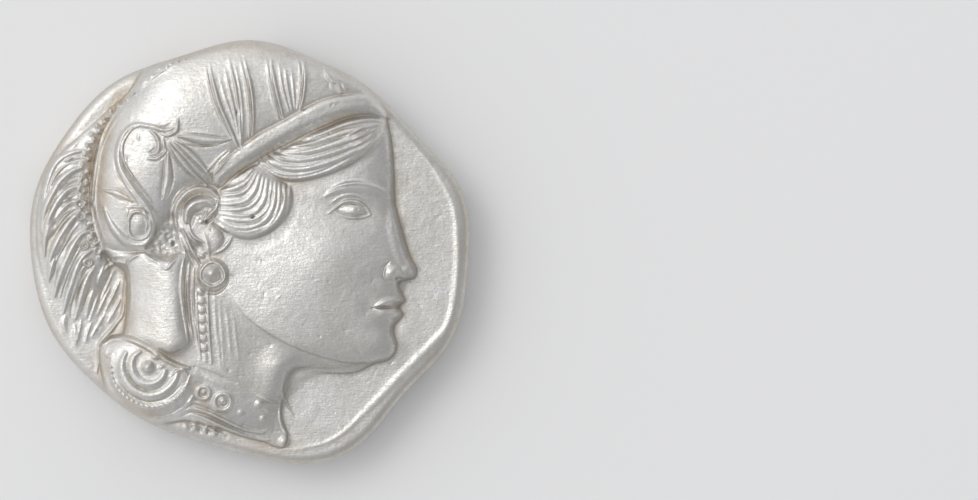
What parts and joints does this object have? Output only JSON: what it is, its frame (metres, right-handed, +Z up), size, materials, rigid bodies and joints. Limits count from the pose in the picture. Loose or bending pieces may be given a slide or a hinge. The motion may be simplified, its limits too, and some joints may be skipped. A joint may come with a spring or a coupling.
{
  "type": "tetradrachm coin",
  "caption": "Thick hand-struck silver coin: helmeted head in high relief on one face, standing owl with olive sprig in a sunk square on the other.",
  "frame": {"origin": "centre of the underside, on the surface the coin lies on", "axes": "+Z up through the head face; +X across the head from its crest to its face; +Y from its neck to the top of its helmet"},
  "size_m": [0.025, 0.024, 0.0057],
  "materials": {
    "silver": "satin"
  },
  "bodies": {
    "root": {"coin": "silver"}
  },
  "joints": []
}
